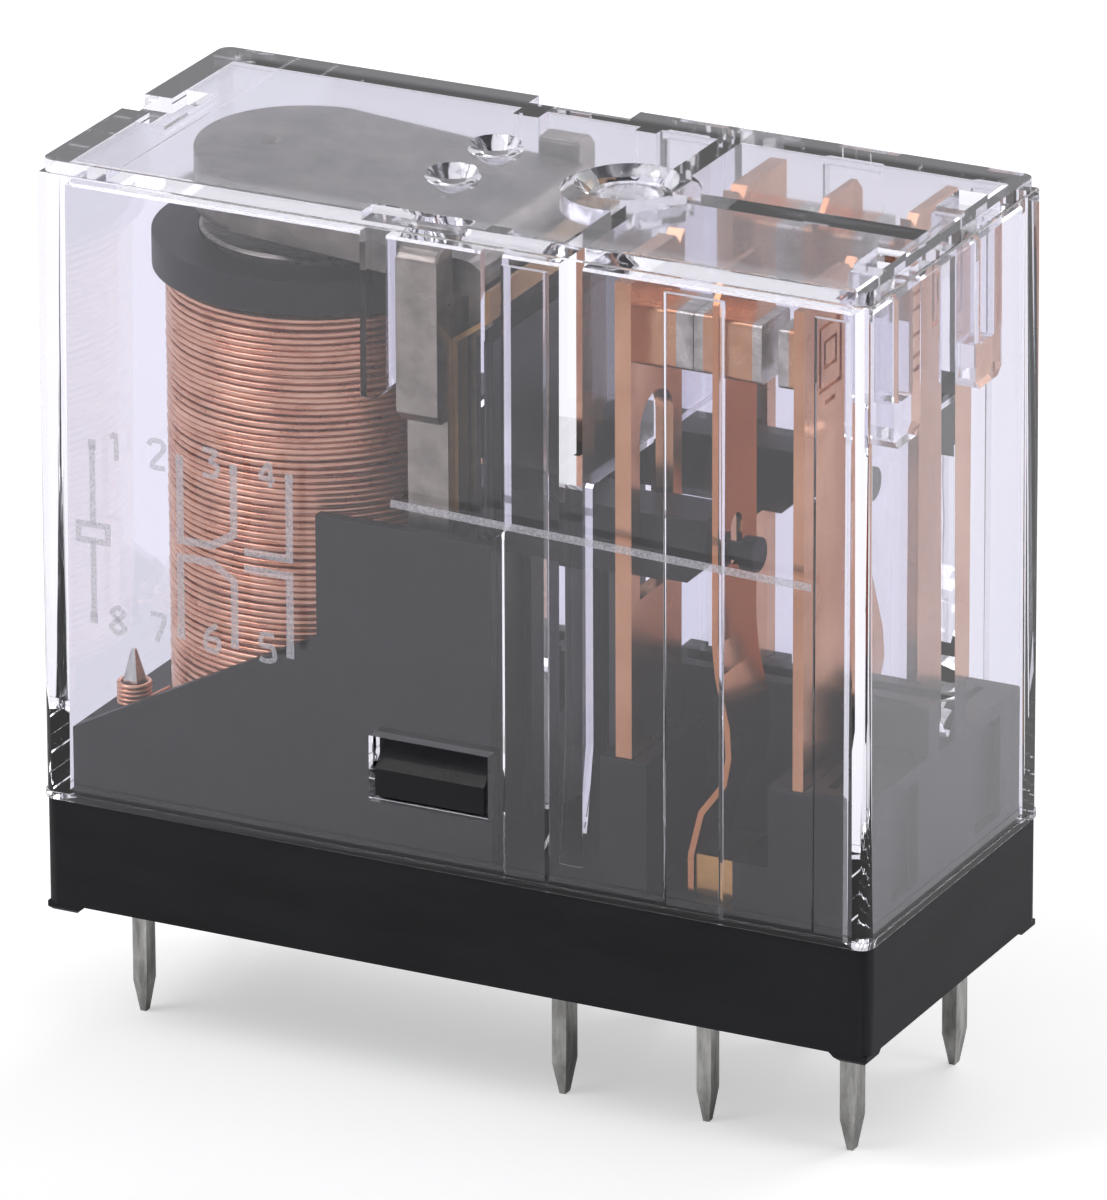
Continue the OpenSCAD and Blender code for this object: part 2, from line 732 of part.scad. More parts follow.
// Ribs on the inside of each long wall
module wall_ribs() {
    both_poles() {
        // locator beside the yoke's ear, with a sloping lower end
        along_y([
            [yoke_left - 1.15, 19.0], [yoke_left - 0.6, 19.0], [yoke_left - 0.25, 19.4],
            [yoke_left - 0.25, roof_z + 0.1], [yoke_left - 1.15, roof_z + 0.1]
        ], [-inner_half - 0.2, -inner_half + 0.85]);
        // narrow rib beside the card
        along_y([
            [card_rib[0], 15.2], [card_rib[0] + 0.3, 15.0], [card_rib[1], 15.3],
            [card_rib[1], roof_z + 0.1], [card_rib[0], roof_z + 0.1]
        ], [-inner_half - 0.2, -inner_half + 0.6]);
    }
}

// Bosses at the contact end
module end_bosses() {
    both_poles() along_x([
        [-pocket_y[1], roof_z + 0.1], [-pocket_y[1], 19.7], [-pocket_y[1] + 0.3, 19.4],
        [-pocket_y[0] - 0.3, 19.4], [-pocket_y[0], 19.7], [-pocket_y[0], roof_z + 0.1]
    ], [inner_right - 1.15, inner_right + 0.3]);
}

module cover_recesses() {
    step = 0.14;
    slope = 0.12;
    both_poles() {
        // thinner panels in the long walls
        for (panel = panels)
            translate([0, 0, deck_height - 1]) linear_extrude(roof_z - deck_height + 0.7) polygon([
                [panel[0], -inner_half + 0.3], [panel[0], -inner_half],
                [panel[0] + slope, -inner_half - step], [panel[1] - slope, -inner_half - step],
                [panel[1], -inner_half], [panel[1], -inner_half + 0.3]
            ]);
        // window for the latch hook
        box([latch_x[0] - window_margin, latch_x[1] + window_margin], [-cover_half - 1, -inner_half + 1],
            [latch_z[0] - window_margin, latch_z[1] + 0.05]);
        // stepped pocket in the boss, open at the top
        box([inner_right - 0.9, inner_right - 0.3], [-pocket_y[1] + 0.45, -pocket_y[0] - 0.45],
            [20.8, body_height + 1]);
        box([inner_right - 1.03, inner_right - 0.05], [-pocket_y[1] + 0.12, -pocket_y[0] - 0.12],
            [body_height - 0.9, body_height + 1]);
        // shallow step in the long top edge
        box([-3.2, 0.35], [-cover_half - 1, -cover_half + 0.95], [body_height - 0.28, body_height + 1]);
    }
    // T-shaped notch in the short top edge
    box([cover_left - 1, cover_left + 1.3], [-0.75, 0.75], [body_height - 0.5, body_height + 1]);
    box([cover_left + 1.2, cover_left + 2.25], [-1.7, 1.7], [body_height - 0.5, body_height + 1]);
    // step in the roof beside the T notch
    box([inner_left + 0.3, -12.0], [-inner_half + 0.35, inner_half - 0.35], [roof_z - 0.1, roof_z + 0.12]);
    // step across the roof at the contact end
    box([inner_right - 0.5, inner_right - 0.15], [-1.6, 1.6], [roof_z - 0.1, roof_z + 0.12]);
    // dish left by the moulding gate
    translate([gate[0], 0, body_height - gate_depth])
        cylinder(h = gate_depth + 0.01, r1 = gate[2] - 0.45, r2 = gate[2], $fn = 64);
    for (side = [-1, 1])
        translate([dimple[0], side * dimple[1], body_height - 0.95]) cylinder(h = 0.96, r1 = 0.22, r2 = 0.8);
}

module cover() {
    color(clear) difference() {
        union() {
            cover_shell();
            difference() {
                union() {
                    cross_barrier();
                    pole_barrier();
                    wall_ribs();
                    end_bosses();
                    translate([gate[0], 0, roof_z - 0.6]) cylinder(h = 0.7, r = gate[1], $fn = 64);
                    for (side = [-1, 1])
                        translate([dimple[0], side * dimple[1], roof_z - 0.4])
                            cylinder(h = 0.5, r1 = 0.4, r2 = 1.0);
                }
                // the ribs end inside the outer skin
                difference() {
                    box([cover_left - 2, cover_right + 2], [-cover_half - 2, cover_half + 2],
                        [deck_height - 1, body_height + 1]);
                    leaning_block([cover_left + 0.1, cover_right - 0.1], cover_half - 0.1,
                        [deck_height, body_height - 0.1], 0.1);
                }
            }
        }
        cover_recesses();
    }
}

module coil_terminal(back) {
    color(tinned) pole(back) coil_terminal_shape();
}

module nc_terminal(back) {
    color(copper) pole(back) nc_terminal_shape();
}

module com_terminal(back) {
    color(copper) pole(back) com_terminal_shape();
}

module no_terminal(back) {
    color(copper) pole(back) no_terminal_shape();
}

base();
cover();
bobbin();
coil_winding();
core();
yoke();
armature();
card();
hinge_spring();
coil_terminal(false);  // coil_terminal_front
coil_terminal(true);  // coil_terminal_back
coil_lead(false);  // coil_lead_front
coil_lead(true);  // coil_lead_back
nc_terminal(false);  // nc_terminal_front
nc_terminal(true);  // nc_terminal_back
com_terminal(false);  // com_terminal_front
com_terminal(true);  // com_terminal_back
no_terminal(false);  // no_terminal_front
no_terminal(true);  // no_terminal_back
movable_spring(false);  // movable_spring_front
movable_spring(true);  // movable_spring_back
nc_contact(false);  // nc_contact_front
nc_contact(true);  // nc_contact_back
no_contact(false);  // no_contact_front
no_contact(true);  // no_contact_back
moving_nc_contact(false);  // moving_nc_contact_front
moving_nc_contact(true);  // moving_nc_contact_back
moving_no_contact(false);  // moving_no_contact_front
moving_no_contact(true);  // moving_no_contact_back
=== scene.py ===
"""Two-pole change-over power relay under a clear clip-on cover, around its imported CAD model."""

import math

import bpy
from mathutils import Matrix, Vector


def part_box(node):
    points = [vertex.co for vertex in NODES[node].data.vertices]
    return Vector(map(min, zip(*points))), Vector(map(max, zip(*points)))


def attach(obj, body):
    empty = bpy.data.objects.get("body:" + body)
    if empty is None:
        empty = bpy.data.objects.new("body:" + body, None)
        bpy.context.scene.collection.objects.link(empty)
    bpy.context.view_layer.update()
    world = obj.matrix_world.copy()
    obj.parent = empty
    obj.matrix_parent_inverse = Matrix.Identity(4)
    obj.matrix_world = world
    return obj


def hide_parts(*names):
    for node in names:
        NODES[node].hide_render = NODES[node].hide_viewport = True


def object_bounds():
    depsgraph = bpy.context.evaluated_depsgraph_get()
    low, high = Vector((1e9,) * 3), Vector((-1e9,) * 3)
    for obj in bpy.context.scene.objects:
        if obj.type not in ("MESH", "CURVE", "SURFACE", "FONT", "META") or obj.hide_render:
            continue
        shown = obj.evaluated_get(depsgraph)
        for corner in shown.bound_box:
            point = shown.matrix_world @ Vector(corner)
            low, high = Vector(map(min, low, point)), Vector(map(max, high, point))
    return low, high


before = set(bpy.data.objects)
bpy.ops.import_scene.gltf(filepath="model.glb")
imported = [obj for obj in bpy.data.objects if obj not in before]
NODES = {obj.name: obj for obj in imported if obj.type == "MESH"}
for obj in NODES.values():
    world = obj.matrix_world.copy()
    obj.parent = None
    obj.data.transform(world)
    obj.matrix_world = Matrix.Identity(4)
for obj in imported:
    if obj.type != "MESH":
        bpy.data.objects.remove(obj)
CAD_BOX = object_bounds()
MM = 0.001
POLES = ("front", "back")
# Silver facing on the contact blocks, from X to X in millimetres; the rest of each block is copper.
FACINGS = ((6.93, 7.84), (9.56, 10.79))
TIN_LINE = 1.0          # the terminals are tinned below this height
TIN_DULL, TIN_BRIGHT = "#A3A29F", "#E8E7E3"
COVER_EDGE = 0.04       # worn radius on the cover's edges
ROOF_PAINTED_SHEEN, RIM_PAINTED_HIGHLIGHT = 0.05, 0.22   # share of light that the roof and its rim scatter to look whiter: painted sheen on the roof, painted highlight along its rim
ROOM_LIGHT = 0.38       # strength of the even light from all round
FLOOR_GLOW = 0.45       # own light of the floor, seen but not lighting the pieces
# The cover's front wall leans in by WALL_LEAN from its lower edge up to the raised rim of the roof.
WALL_INSET, WALL_LEAN, RIM_HEIGHT = 0.04, 0.14, 0.42
COIL_AXIS_X = -7.7
GATE = (3.0, 0.0, 24.8)  # middle of the gate's dish in the roof
GATE_EDGE = (1.05, 0.85) # the torn floor fades in between these distances from it


def box_of(node):
    low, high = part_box(node)
    return Vector(low), Vector(high)


# ---------------------------------------------------------------- camera

# A long lens from about 0.4 m, turned 27 degrees towards the contact end and looking 21 degrees down.
AZIMUTH, ELEVATION, ROLL = math.radians(26.79), math.radians(21.23), math.radians(-0.25)
CAMERA_DISTANCE = 0.3929
CAMERA_TARGET = Vector((0.28, 0.0, 10.9)) * MM
LENS = 376.2


def make_camera():
    data = bpy.data.cameras.new("camera")
    data.lens = LENS
    data.sensor_width = 36.0
    data.clip_start = 0.01
    data.clip_end = 20.0
    back = Vector((
        math.sin(AZIMUTH) * math.cos(ELEVATION),
        -math.cos(AZIMUTH) * math.cos(ELEVATION),
        math.sin(ELEVATION),
    ))
    camera = bpy.data.objects.new("camera", data)
    camera.location = CAMERA_TARGET + back * CAMERA_DISTANCE
    level = (-back).to_track_quat("-Z", "Y").to_matrix()
    camera.rotation_euler = (level @ Matrix.Rotation(ROLL, 3, "Z")).to_euler()
    bpy.context.scene.collection.objects.link(camera)
    bpy.context.scene.camera = camera


# ---------------------------------------------------------------- node helpers


def linear(hex_code):
    """An sRGB hex colour as the linear values that the shaders take."""
    parts = [int(hex_code[i : i + 2], 16) / 255 for i in (1, 3, 5)]
    return (*[c / 12.92 if c <= 0.04045 else ((c + 0.055) / 1.055) ** 2.4 for c in parts], 1.0)


def add(tree, kind, links=None, inputs=None, **settings):
    """Adds a node with its settings, its input values and its input links."""
    node = tree.nodes.new(kind)
    for name, value in settings.items():
        setattr(node, name, value)
    for name, value in (inputs or {}).items():
        node.inputs[name].default_value = value
    for name, socket in (links or {}).items():
        tree.links.new(socket, node.inputs[name])
    return node


def material(name):
    """An empty material with its output and a Principled shader."""
    made = bpy.data.materials.new(name)
    made.use_nodes = True
    tree = made.node_tree
    tree.nodes.clear()
    output = tree.nodes.new("ShaderNodeOutputMaterial")
    shader = tree.nodes.new("ShaderNodeBsdfPrincipled")
    tree.links.new(shader.outputs["BSDF"], output.inputs["Surface"])
    return made, tree, shader


def coords(tree, stretch=(1, 1, 1)):
    """Object coordinates in millimetres, stretched along an axis for a grain."""
    place = add(tree, "ShaderNodeTexCoord")
    mapping = add(
        tree, "ShaderNodeMapping", links={"Vector": place.outputs["Object"]},
        inputs={"Scale": [s / MM for s in stretch]},
    )
    return mapping.outputs["Vector"]


def noise(tree, vector, per_mm, detail=4.0, rough=0.55):
    made = add(
        tree, "ShaderNodeTexNoise", links={"Vector": vector},
        inputs={"Scale": per_mm, "Detail": detail, "Roughness": rough},
    )
    return made.outputs["Fac"]


def spread(tree, value, low, high, bottom=0.0, top=1.0):
    """Maps a pattern's value from low..high to bottom..top."""
    made = add(
        tree, "ShaderNodeMapRange", links={"Value": value},
        inputs={"From Min": low, "From Max": high, "To Min": bottom, "To Max": top},
    )
    return made.outputs["Result"]


def blend(tree, factor, first, second):
    made = add(tree, "ShaderNodeMix", data_type="RGBA")
    tree.links.new(factor, made.inputs["Factor"])
    for slot, colour in (("A", first), ("B", second)):
        socket = [s for s in made.inputs if s.name == slot and s.type == "RGBA"][0]
        if isinstance(colour, str):
            socket.default_value = linear(colour)
        else:
            tree.links.new(colour, socket)
    return [s for s in made.outputs if s.type == "RGBA"][0]


def bump(tree, height, depth_mm, strength=1.0, normal=None):
    links = {"Height": height}
    if normal is not None:
        links["Normal"] = normal
    made = add(
        tree, "ShaderNodeBump", links=links,
        inputs={"Strength": strength, "Distance": depth_mm * MM},
    )
    return made.outputs["Normal"]


# ---------------------------------------------------------------- materials


def axis_value(tree, axis):
    """The X, Y or Z of the shaded point on its piece, in millimetres."""
    split = add(tree, "ShaderNodeSeparateXYZ", links={"Vector": coords(tree)})
    return split.outputs[axis]


def between(tree, value, low, high):
    """1 where the value lies from low to high, 0 elsewhere."""
    made = add(tree, "ShaderNodeMath", operation="COMPARE")
    tree.links.new(value, made.inputs[0])
    made.inputs[1].default_value = (low + high) / 2
    made.inputs[2].default_value = (high - low) / 2
    return made.outputs["Value"]


def combine(tree, operation, first, second):
    made = add(tree, "ShaderNodeMath", operation=operation)
    for index, value in enumerate((first, second)):
        if isinstance(value, (int, float)):
            made.inputs[index].default_value = value
        else:
            tree.links.new(value, made.inputs[index])
    return made.outputs["Value"]


def moulded_pbt(name, dark, light, rough):
    """Glass-filled PBT, injection moulded: near black, with a fine satin spark grain and faint flow marks."""
    made, tree, shader = material(name)
    grain = noise(tree, coords(tree), 16.0, 2.0)
    flow = noise(tree, coords(tree, (0.25, 0.25, 1.0)), 0.6, 3.0)
    tree.links.new(blend(tree, spread(tree, flow, 0.35, 0.65), dark, light), shader.inputs["Base Color"])
    tree.links.new(spread(tree, grain, 0.3, 0.7, rough - 0.06, rough + 0.08), shader.inputs["Roughness"])
    tree.links.new(bump(tree, grain, 0.002), shader.inputs["Normal"])
    shader.inputs["IOR"].default_value = 1.5
    shader.inputs["Specular IOR Level"].default_value = 0.3
    return made


def clear_polycarbonate(name):
    """Clear polycarbonate, injection moulded: glassy and faintly lilac, with soft ripples and a torn, rough floor in
    the dish that the gate left. Its flat roof is whitened a little as painted sheen, and more along its rim as a
    painted highlight."""
    made, tree, shader = material(name)
    shader.inputs["Base Color"].default_value = linear("#ECEBF3")
    shader.inputs["IOR"].default_value = 1.585
    surface = add(tree, "ShaderNodeNewGeometry")
    facing = add(tree, "ShaderNodeSeparateXYZ", links={"Vector": surface.outputs["True Normal"]})
    roof = spread(tree, combine(tree, "ABSOLUTE", facing.outputs["Z"], 0.0), 0.9, 0.98)
    tree.links.new(combine(tree, "MULTIPLY", roof, 0.05), shader.inputs["Roughness"])
    high = box_of("cover")[1]
    rim = [
        spread(tree, combine(tree, "ABSOLUTE", axis_value(tree, axis), 0.0), edge / MM - 1.2, edge / MM - 0.8)
        for axis, edge in (("X", high.x), ("Y", high.y))
    ]
    # Painted sheen: the flat roof lets a little less light through and shows its pale base colour, more within a
    # millimetre of the rim as a painted highlight of its edges.
    painted_sheen = spread(tree, combine(tree, "MAXIMUM", rim[0], rim[1]), 0.0, 1.0, ROOF_PAINTED_SHEEN, RIM_PAINTED_HIGHLIGHT)
    tree.links.new(
        combine(tree, "SUBTRACT", 1.0, combine(tree, "MULTIPLY", roof, painted_sheen)), shader.inputs["Transmission Weight"],
    )
    from_gate = add(tree, "ShaderNodeVectorMath", links={"Vector": coords(tree)}, operation="DISTANCE")
    from_gate.inputs[1].default_value = GATE
    torn = spread(tree, from_gate.outputs["Value"], *GATE_EDGE)
    rough_floor = combine(tree, "MULTIPLY", noise(tree, coords(tree), 1.6, 5.0, 0.7), torn)
    ripple = noise(tree, coords(tree, (0.3, 0.3, 0.3)), 0.5, 2.0)
    waves = bump(tree, ripple, 0.01, 0.4)
    tree.links.new(bump(tree, rough_floor, 0.5, 1.0, waves), shader.inputs["Normal"])
    return made


def rolled_strip(name, bright, dull, scratches=0.0, rough=0.22):
    """Rolled and stamped copper alloy: satin, with faint rolling lines and tarnish, and hot tin
    on the pins below the base. Scratches run slantwise across a filed face."""
    made, tree, shader = material(name)
    lines = noise(tree, coords(tree, (4.0, 4.0, 0.15)), 1.2, 2.0)
    tarnish = noise(tree, coords(tree), 0.35, 4.0)
    tinned = spread(tree, axis_value(tree, "Z"), TIN_LINE + 0.1, TIN_LINE)
    runs = noise(tree, coords(tree, (2.0, 2.0, 0.5)), 1.3, 4.0, 0.6)
    alloy = blend(tree, spread(tree, tarnish, 0.35, 0.7), bright, dull)
    tin = blend(tree, spread(tree, runs, 0.35, 0.72), TIN_DULL, TIN_BRIGHT)
    tree.links.new(blend(tree, tinned, alloy, tin), shader.inputs["Base Color"])
    shader.inputs["Metallic"].default_value = 1.0
    tree.links.new(spread(tree, tarnish, 0.3, 0.7, rough - 0.05, rough + 0.07), shader.inputs["Roughness"])
    slant = coords(tree)
    turned = add(tree, "ShaderNodeMapping", links={"Vector": slant})
    turned.inputs["Rotation"].default_value = (0.0, math.radians(35), 0.0)
    turned.inputs["Scale"].default_value = (12.0, 1.0, 0.6)
    marks = noise(tree, turned.outputs["Vector"], 1.0, 2.0)
    rolled = bump(tree, lines, 0.004, 0.4)
    tree.links.new(bump(tree, marks, 0.02, scratches, rolled), shader.inputs["Normal"])
    return made


def enamelled_wire(name):
    """Enamelled copper magnet wire: orange copper under a thin gloss varnish, uneven from turn to turn."""
    made, tree, shader = material(name)
    shade = noise(tree, coords(tree, (1.0, 1.0, 3.0)), 0.8, 3.0)
    tree.links.new(blend(tree, spread(tree, shade, 0.3, 0.7), "#CB8A6C", "#F3C0A2"), shader.inputs["Base Color"])
    shader.inputs["Metallic"].default_value = 1.0
    tree.links.new(spread(tree, shade, 0.3, 0.7, 0.24, 0.36), shader.inputs["Roughness"])
    shader.inputs["Coat Weight"].default_value = 0.4
    shader.inputs["Coat Roughness"].default_value = 0.12
    return made


def nickel_plate(name, dark="#8B847A", light="#BBB2A5", rough=0.34):
    """Dull nickel plate over stamped soft iron: warm grey, with draw marks and small blotches."""
    made, tree, shader = material(name)
    draw = noise(tree, coords(tree, (0.4, 5.0, 5.0)), 1.2, 3.0)
    blotch = noise(tree, coords(tree), 0.7, 5.0, 0.6)
    tree.links.new(blend(tree, spread(tree, blotch, 0.35, 0.68), dark, light), shader.inputs["Base Color"])
    shader.inputs["Metallic"].default_value = 1.0
    tree.links.new(spread(tree, draw, 0.3, 0.7, rough - 0.07, rough + 0.09), shader.inputs["Roughness"])
    tree.links.new(bump(tree, blotch, 0.015, 0.5), shader.inputs["Normal"])
    return made


def tin_plate(name):
    """Hot tinned blade: pale grey, with soft runs along the pin and a few darker scuffs."""
    made, tree, shader = material(name)
    runs = noise(tree, coords(tree, (2.0, 2.0, 0.5)), 1.3, 4.0, 0.6)
    tree.links.new(blend(tree, spread(tree, runs, 0.35, 0.72), TIN_DULL, TIN_BRIGHT), shader.inputs["Base Color"])
    shader.inputs["Metallic"].default_value = 1.0
    tree.links.new(spread(tree, runs, 0.3, 0.7, 0.42, 0.24), shader.inputs["Roughness"])
    tree.links.new(bump(tree, runs, 0.03, 0.6), shader.inputs["Normal"])
    return made


def faced_contact(name):
    """Bimetal contact block, rolled and cut: a copper body under a polished silver alloy facing."""
    made, tree, shader = material(name)
    wear = noise(tree, coords(tree), 1.5, 4.0)
    along = axis_value(tree, "X")
    masks = [between(tree, along, low, high) for low, high in FACINGS]
    facing = combine(tree, "MAXIMUM", masks[0], masks[1])
    body = blend(tree, spread(tree, wear, 0.35, 0.7), "#B98460", "#C99A76")
    silver = blend(tree, spread(tree, wear, 0.35, 0.7), "#9C978E", "#CFCBC2")
    tree.links.new(blend(tree, facing, body, silver), shader.inputs["Base Color"])
    shader.inputs["Metallic"].default_value = 1.0
    tree.links.new(spread(tree, wear, 0.3, 0.7, 0.16, 0.3), shader.inputs["Roughness"])
    return made


def pad_ink(name):
    """Pad-printed ink: a thin, chalky pale grey film with a fine speckle, half see-through."""
    made, tree, shader = material(name)
    speckle = noise(tree, coords(tree), 12.0, 2.0)
    tree.links.new(blend(tree, spread(tree, speckle, 0.35, 0.65), "#CFCDD6", "#E2E0E8"), shader.inputs["Base Color"])
    tree.links.new(spread(tree, speckle, 0.3, 0.7, 0.5, 0.72), shader.inputs["Alpha"])
    shader.inputs["Roughness"].default_value = 0.7
    return made


def paint(node, finish):
    mesh = NODES[node].data
    mesh.materials.clear()
    mesh.materials.append(finish)


def soften(node, width_mm, segments=2):
    """A small worn radius on a CAD node's sharp edges."""
    piece = NODES[node]
    weld = piece.modifiers.new("weld", "WELD")
    weld.merge_threshold = 0.002 * MM
    bevel = piece.modifiers.new("edge", "BEVEL")
    bevel.width = width_mm * MM
    bevel.segments = segments
    bevel.limit_method = "ANGLE"
    bevel.angle_limit = math.radians(38)
    bevel.harden_normals = True


# ---------------------------------------------------------------- detail pieces


def add_piece(name, points, faces, finish, smooth=True):
    """A detail mesh from points in millimetres, riding on the fixed body."""
    mesh = bpy.data.meshes.new(name)
    mesh.from_pydata([[c * MM for c in p] for p in points], [], faces)
    mesh.polygons.foreach_set("use_smooth", [smooth] * len(mesh.polygons))
    mesh.materials.append(finish)
    piece = bpy.data.objects.new(name, mesh)
    bpy.context.scene.collection.objects.link(piece)
    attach(piece, "frame")
    return piece


def coil_tube(path, radius, sides, points, faces):
    """Adds a round wire whose path turns about the coil's axis, given as (angle, radius, height)."""
    first = len(points)
    for angle, away, height in path:
        for side in range(sides):
            turn = 2 * math.pi * side / sides
            reach = away + radius * math.cos(turn)
            points.append((
                COIL_AXIS_X + reach * math.cos(angle), reach * math.sin(angle),
                height + radius * math.sin(turn),
            ))
    for ring in range(len(path) - 1):
        for side in range(sides):
            a = first + ring * sides + side
            b = first + ring * sides + (side + 1) % sides
            faces.append((a, b, b + sides, a + sides))
    faces.append(tuple(range(first + sides - 1, first - 1, -1)))
    last = len(points) - sides
    faces.append(tuple(range(last, last + sides)))


def make_winding(finish):
    """Fine wire wound round the bobbin: a close layer, and over it a looser one that drifts up and down."""
    low, high = box_of("coil_winding")
    bottom, top = low.z / MM, high.z / MM
    outer = (high.x - low.x) / MM / 2
    points, faces = [], []
    steps = 44      # places along one turn
    wire = 0.1      # radius of the wire
    for layer, (away, pitch, drift) in enumerate(((outer - 0.29, 0.205, 0.0), (outer - 0.115, 0.215, 0.1))):
        room = top - bottom - 2 * wire - 2 * drift - 0.04
        turns = int(room / pitch)
        path = []
        for step in range(turns * steps + 1):
            turn = step / steps
            angle = 2 * math.pi * turn + 0.9 * layer
            height = bottom + wire + drift + 0.02 + room * turn / turns
            sway = math.sin(angle + 0.5 * math.sin(0.45 * turn)) + 0.45 * math.sin(0.9 * turn)
            height += drift * 0.68 * sway
            tuck = 0.03 * math.sin(1.7 * turn) * (1 if drift else 0)
            path.append((angle, away - abs(tuck), height))
        coil_tube(path, wire, 6, points, faces)
    drum = len(points)
    sides = 64
    inner = outer - 0.36
    for height in (bottom + 0.02, top - 0.02):
        for side in range(sides):
            turn = 2 * math.pi * side / sides
            points.append((COIL_AXIS_X + inner * math.cos(turn), inner * math.sin(turn), height))
    for side in range(sides):
        after = (side + 1) % sides
        faces.append((drum + side, drum + after, drum + sides + after, drum + sides + side))
    faces.append(tuple(range(drum + sides - 1, drum - 1, -1)))
    faces.append(tuple(range(drum + sides, drum + 2 * sides)))
    piece = add_piece("wound_wire", points, faces, finish)
    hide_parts("coil_winding")


# Numerals as strokes in a box 0.6 wide and 0.9 high.
NUMERALS = {
    1: [(0.1, 0.74), (0.32, 0.9), (0.32, 0.0)],
    2: [(0.02, 0.72), (0.12, 0.9), (0.48, 0.9), (0.6, 0.66), (0.02, 0.0), (0.6, 0.0)],
    3: [(0.04, 0.9), (0.56, 0.88), (0.26, 0.5), (0.58, 0.42), (0.5, 0.02), (0.02, 0.06)],
    4: [(0.46, 0.0), (0.46, 0.9), (0.02, 0.28), (0.6, 0.28)],
    5: [(0.54, 0.9), (0.08, 0.9), (0.06, 0.5), (0.5, 0.54), (0.58, 0.1), (0.3, 0.0), (0.02, 0.06)],
    6: [(0.48, 0.9), (0.1, 0.62), (0.04, 0.06), (0.5, 0.0), (0.56, 0.44), (0.12, 0.42)],
    7: [(0.02, 0.9), (0.58, 0.9), (0.22, 0.0)],
    8: [(0.3, 0.48), (0.04, 0.7), (0.3, 0.92), (0.56, 0.7), (0.3, 0.48), (0.0, 0.2), (0.3, 0.0), (0.6, 0.2),
        (0.3, 0.48)],
}


def rounded(path, times=2):
    """The same stroke with its corners cut, keeping both ends."""
    for _ in range(times):
        cut = [path[0]]
        for a, b in zip(path, path[1:]):
            cut.append((0.8 * a[0] + 0.2 * b[0], 0.8 * a[1] + 0.2 * b[1]))
            cut.append((0.2 * a[0] + 0.8 * b[0], 0.2 * a[1] + 0.8 * b[1]))
        path = cut + [path[-1]]
    return path


def print_strokes():
    """Strokes of the generic terminal diagram: (path in X and Z, width), all in millimetres."""
    top, bottom, middle = 16.06, 10.26, 13.11
    coil_x, left_x, centre_x, right_x = -12.7, -9.6, -7.7, -5.75
    line = 0.26
    box_half = (0.52, 0.27)
    strokes = [
        ([(coil_x, top), (coil_x, middle + box_half[1])], line * 0.8),
        ([(coil_x, middle - box_half[1]), (coil_x, bottom)], line * 0.8),
        ([(coil_x + sx * box_half[0], middle + sz * box_half[1])
          for sx, sz in ((0, 1), (1, 1), (1, -1), (-1, -1), (-1, 1), (0, 1))], line * 0.8),
    ]
    for end, way in ((top, 1), (bottom, -1)):
        near = middle + way * 0.28
        strokes.append(([(left_x, end), (left_x, near), (-8.5, near), (centre_x, near + way * 0.5),
                         (centre_x, end)], line))
        strokes.append(([(right_x, end), (right_x, near), (right_x - 1.6, near)], line))
        for x in (coil_x, left_x, centre_x, right_x):
            strokes.append(([(x - 0.14, end), (x + 0.14, end)], 0.34))
    for order, digits in ((0, (1, 2, 3, 4)), (1, (8, 7, 6, 5))):
        for digit, x in zip(digits, (coil_x + 0.55, left_x - 1.1, centre_x - 1.1, right_x - 1.1)):
            z = (top, bottom)[order] - 0.4
            strokes.append(([(x + px, z + pz) for px, pz in rounded(NUMERALS[digit])], 0.17))
    strokes.append(([(-2.2, 15.85), (12.2, 15.5)], line))
    return strokes


def make_print(finish):
    """The diagram as thin ink on the leaning front wall of the cover."""
    low, high = box_of("cover")
    wall = (-low.y / MM - WALL_INSET, WALL_LEAN / (high.z / MM - RIM_HEIGHT - low.z / MM))
    points, faces = [], []

    def on_wall(x, z, lift):
        return (x, -(wall[0] - wall[1] * (z - low.z / MM)) - lift, z)

    for order, (path, width) in enumerate(print_strokes()):
        lift = 0.012 + 0.0006 * order
        first = len(points)
        for index, (x, z) in enumerate(path):
            before = path[max(index - 1, 0)]
            after = path[min(index + 1, len(path) - 1)]
            here = Vector((x, z))
            sides = []
            for a, b in ((Vector(before), here), (here, Vector(after))):
                if (b - a).length > 0:
                    way = (b - a).normalized()
                    sides.append(Vector((-way.y, way.x)))
            mitre = (sides[0] + sides[-1]).normalized()
            mitre = mitre * (width / 2 / max(mitre.dot(sides[0]), 0.4))
            points.append(on_wall(x + mitre.x, z + mitre.y, lift))
            points.append(on_wall(x - mitre.x, z - mitre.y, lift))
        for index in range(len(path) - 1):
            a = first + 2 * index
            faces.append((a, a + 1, a + 3, a + 2))
    add_piece("terminal_diagram", points, faces, finish, smooth=False)


# ---------------------------------------------------------------- stage


def seen_directly(tree):
    """1 for what the camera sees straight on or through the clear cover, 0 for what lights the pieces."""
    path = add(tree, "ShaderNodeLightPath")
    return combine(tree, "MAXIMUM", path.outputs["Is Camera Ray"], path.outputs["Is Transmission Ray"])


def make_stage():
    """A pale matt sweep, lit evenly from below so that only a faint shadow falls on it."""
    floor_z = CAD_BOX[0][2]
    mesh = bpy.data.meshes.new("floor")
    half = 3.0
    corners = [(-half, -half), (half, -half), (half, half), (-half, half)]
    mesh.from_pydata([(x, y, floor_z) for x, y in corners], [], [(0, 1, 2, 3)])
    floor = bpy.data.objects.new("floor", mesh)
    bpy.context.scene.collection.objects.link(floor)
    made, tree, shader = material("matt_white_paper")
    fibre = noise(tree, coords(tree), 0.05, 3.0)
    tree.links.new(blend(tree, spread(tree, fibre, 0.3, 0.7), "#E4E4E6", "#E9E9EB"), shader.inputs["Base Color"])
    shader.inputs["Roughness"].default_value = 0.9
    shader.inputs["Specular IOR Level"].default_value = 0.1
    shader.inputs["Emission Color"].default_value = linear("#FFFFFF")
    glow = combine(tree, "MULTIPLY", seen_directly(tree), FLOOR_GLOW)
    tree.links.new(glow, shader.inputs["Emission Strength"])
    mesh.materials.append(made)


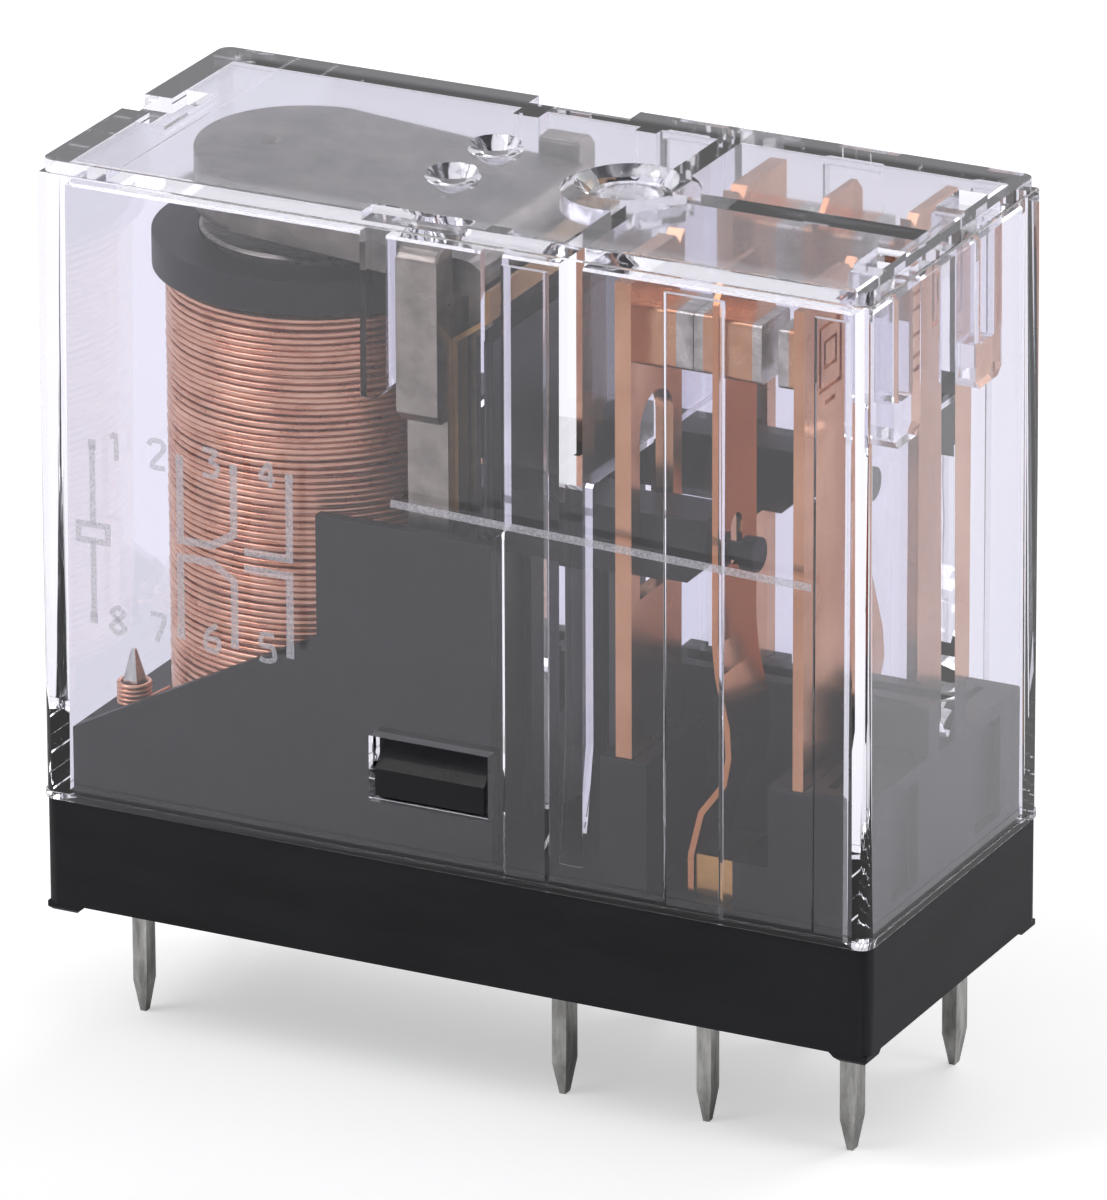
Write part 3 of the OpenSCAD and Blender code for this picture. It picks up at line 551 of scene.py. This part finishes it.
def add_softbox(name, place, aim, size, power):
    data = bpy.data.lights.new(name, "AREA")
    data.shape = "RECTANGLE"
    data.size, data.size_y = size
    data.energy = power
    lamp = bpy.data.objects.new(name, data)
    lamp.location = place
    lamp.rotation_euler = (Vector(aim) - Vector(place)).to_track_quat("-Z", "Y").to_euler()
    bpy.context.scene.collection.objects.link(lamp)


def make_lights():
    world = bpy.data.worlds.new("studio")
    bpy.context.scene.world = world
    world.use_nodes = True
    tree = world.node_tree
    sky = tree.nodes["Background"]
    sky.inputs["Color"].default_value = (1.0, 1.0, 1.0, 1.0)
    level = spread(tree, seen_directly(tree), 0.0, 1.0, ROOM_LIGHT, 1.0)
    tree.links.new(level, sky.inputs["Strength"])
    centre = (0.0, 0.0, 0.012)
    add_softbox("key", (-0.30, -0.25, 0.45), centre, (0.30, 0.30), 1.4)
    add_softbox("back", (0.10, 0.45, 0.35), centre, (0.50, 0.30), 1.5)
    add_softbox("side", (0.50, 0.05, 0.20), centre, (0.25, 0.35), 0.5)
    bpy.context.scene.view_settings.view_transform = "Standard"


def allow_light_through():
    """The cover's walls, ribs and barriers stand one behind the other, so light needs many bounces."""
    cycles = bpy.context.scene.cycles
    cycles.max_bounces = 24
    cycles.glossy_bounces = 14
    cycles.transmission_bounces = 24
    cycles.transparent_max_bounces = 16


# ---------------------------------------------------------------- build

make_camera()
make_stage()
make_lights()
allow_light_through()

black = moulded_pbt("black_glass_filled_pbt", "#111215", "#1A1B1F", 0.45)
clear = clear_polycarbonate("clear_polycarbonate")
copper_strip = rolled_strip("rolled_copper_strip", "#D3A07C", "#BD8560")
leaf_copper = rolled_strip("rolled_copper_leaf", "#C98D66", "#B97C54", rough=0.12)
brass_tab = rolled_strip("filed_brass_tab", "#C99F68", "#A87A48", 0.5)
spring_bronze = rolled_strip("rolled_phosphor_bronze", "#A68458", "#8A683F")
wire = enamelled_wire("enamelled_copper_wire")
nickel = nickel_plate("dull_nickel_plate")
# A darker copy of the nickel plate for the armature: painted dark reflection of the dark parts around it.
nickel_painted_dark_reflection = nickel_plate("nickel_plate_painted_dark_reflection", "#625E59", "#8D877E")
iron = nickel_plate("turned_soft_iron", "#77736B", "#A8A399", 0.3)
tin = tin_plate("tinned_pin")
faced = faced_contact("silver_faced_copper")
ink = pad_ink("pale_grey_pad_ink")

for name in ("base", "bobbin", "card"):
    paint(name, black)
paint("cover", clear)
paint("coil_winding", wire)
paint("core", iron)
paint("yoke", nickel)
paint("armature", nickel_painted_dark_reflection)
paint("hinge_spring", spring_bronze)
for pole in POLES:
    paint(f"coil_terminal_{pole}", tin)
    paint(f"coil_lead_{pole}", wire)
    paint(f"nc_terminal_{pole}", copper_strip)
    paint(f"no_terminal_{pole}", copper_strip)
    paint(f"com_terminal_{pole}", brass_tab)
    paint(f"movable_spring_{pole}", leaf_copper)
    for name in ("nc_contact", "no_contact", "moving_nc_contact", "moving_no_contact"):
        paint(f"{name}_{pole}", faced)
for name, width in (("base", 0.08), ("yoke", 0.08), ("armature", 0.08), ("cover", COVER_EDGE)):
    soften(name, width)
make_winding(wire)
make_print(ink)
